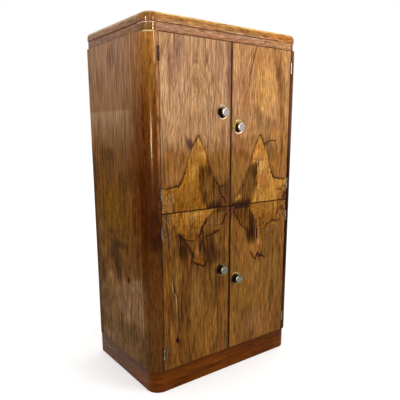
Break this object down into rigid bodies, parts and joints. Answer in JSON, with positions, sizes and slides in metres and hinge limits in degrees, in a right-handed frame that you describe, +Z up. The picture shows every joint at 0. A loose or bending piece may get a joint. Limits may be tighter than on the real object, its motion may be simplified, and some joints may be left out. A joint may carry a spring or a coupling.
{
  "type": "cabinet",
  "caption": "Tall free-standing cabinet: stacked pairs of hinged doors between quarter-round corner columns, shelves inside, a rounded cornice above and a recessed plinth below.",
  "frame": {"origin": "centre of the underside of the box that holds the whole cabinet, knobs included, on the floor", "axes": "+Z up, +X to the right for someone facing the doors, +Y towards the back; the doors face -Y"},
  "size_m": [0.85, 0.573, 1.6],
  "materials": {
    "door_veneer": "quarter-matched figured walnut veneer, polished",
    "side_veneer": "straight-grained walnut veneer, satin polish",
    "column_wood": "walnut, high polish",
    "moulding_wood": "walnut with the grain along the band, polished",
    "top_veneer": "walnut veneer on plywood, satin polish",
    "plinth_wood": "reddish mahogany, polished",
    "lipping_wood": "walnut edge strips, satin",
    "carcass_wood": "plain pale hardwood, waxed",
    "plywood": "unfinished plywood",
    "hinge_metal": "dull steel",
    "knob_plate": "worn nickel plate with brass showing through",
    "knob_body": "glossy black phenolic",
    "knob_cap": "bright plate, lightly scratched",
    "catch_brass": "plain brass",
    "catch_steel": "polished steel"
  },
  "bodies": {
    "cabinet": {"plinth_front": "plinth_wood", "plinth_sides": "plinth_wood", "plinth_corners": "plinth_wood", "plinth_back": "carcass_wood", "plinth_glue_blocks": "carcass_wood", "bottom_board": "carcass_wood", "division_board": "carcass_wood", "carcass_top_board": "carcass_wood", "left_side_panel": "side_veneer", "right_side_panel": "side_veneer", "left_column": "column_wood", "right_column": "column_wood", "lower_back_panel": "plywood", "upper_back_panel": "plywood", "top_panel": "top_veneer", "upper_shelves": "carcass_wood", "lower_shelf": "carcass_wood", "shelf_bearers": "carcass_wood", "frieze_front": "moulding_wood", "frieze_sides": "moulding_wood", "frieze_corners": "moulding_wood", "cornice_front": "moulding_wood", "cornice_sides": "moulding_wood", "cornice_corners": "moulding_wood", "rear_rail": "carcass_wood", "hinge_frame_leaves": "hinge_metal", "hinge_pins": "hinge_metal", "catch_strike_plates": "catch_brass"},
    "lower_left_door": {"lower_left_door_panel": "door_veneer", "lower_left_door_lipping": "lipping_wood", "lower_left_hinge_leaves": "hinge_metal", "lower_left_knob_plate": "knob_plate", "lower_left_knob_body": "knob_body", "lower_left_knob_cap": "knob_cap", "lower_left_catch_barrel": "catch_brass"},
    "lower_left_catch_ball": {"lower_left_catch_ball": "catch_steel"},
    "lower_right_door": {"lower_right_door_panel": "door_veneer", "lower_right_door_lipping": "lipping_wood", "lower_right_hinge_leaves": "hinge_metal", "lower_right_knob_plate": "knob_plate", "lower_right_knob_body": "knob_body", "lower_right_knob_cap": "knob_cap", "lower_right_catch_barrel": "catch_brass"},
    "lower_right_catch_ball": {"lower_right_catch_ball": "catch_steel"},
    "upper_left_door": {"upper_left_door_panel": "door_veneer", "upper_left_door_lipping": "lipping_wood", "upper_left_hinge_leaves": "hinge_metal", "upper_left_knob_plate": "knob_plate", "upper_left_knob_body": "knob_body", "upper_left_knob_cap": "knob_cap", "upper_left_catch_barrel": "catch_brass"},
    "upper_left_catch_ball": {"upper_left_catch_ball": "catch_steel"},
    "upper_right_door": {"upper_right_door_panel": "door_veneer", "upper_right_door_lipping": "lipping_wood", "upper_right_hinge_leaves": "hinge_metal", "upper_right_knob_plate": "knob_plate", "upper_right_knob_body": "knob_body", "upper_right_knob_cap": "knob_cap", "upper_right_catch_barrel": "catch_brass"},
    "upper_right_catch_ball": {"upper_right_catch_ball": "catch_steel"}
  },
  "joints": [
    {"name": "lower_left_door_hinge", "type": "hinge", "parent": "cabinet", "child": "lower_left_door", "pos_m": [-0.37, -0.2605, 0.45975], "axis": [0, 0, -1], "range_deg": [0, 180]},
    {"name": "lower_left_catch_ball_slide", "type": "slide", "parent": "lower_left_door", "child": "lower_left_catch_ball", "axis": [0, 0, 1], "range_m": [0, 0.0015], "stiffness_N_per_m": 250, "springref_m": -0.004},
    {"name": "lower_right_door_hinge", "type": "hinge", "parent": "cabinet", "child": "lower_right_door", "pos_m": [0.37, -0.2605, 0.45975], "axis": [0, 0, 1], "range_deg": [0, 180]},
    {"name": "lower_right_catch_ball_slide", "type": "slide", "parent": "lower_right_door", "child": "lower_right_catch_ball", "axis": [0, 0, 1], "range_m": [0, 0.0015], "stiffness_N_per_m": 250, "springref_m": -0.004},
    {"name": "upper_left_door_hinge", "type": "hinge", "parent": "cabinet", "child": "upper_left_door", "pos_m": [-0.37, -0.2605, 1.17125], "axis": [0, 0, -1], "range_deg": [0, 180]},
    {"name": "upper_left_catch_ball_slide", "type": "slide", "parent": "upper_left_door", "child": "upper_left_catch_ball", "axis": [0, 0, -1], "range_m": [0, 0.0015], "stiffness_N_per_m": 250, "springref_m": -0.004},
    {"name": "upper_right_door_hinge", "type": "hinge", "parent": "cabinet", "child": "upper_right_door", "pos_m": [0.37, -0.2605, 1.17125], "axis": [0, 0, 1], "range_deg": [0, 180]},
    {"name": "upper_right_catch_ball_slide", "type": "slide", "parent": "upper_right_door", "child": "upper_right_catch_ball", "axis": [0, 0, -1], "range_m": [0, 0.0015], "stiffness_N_per_m": 250, "springref_m": -0.004}
  ]
}
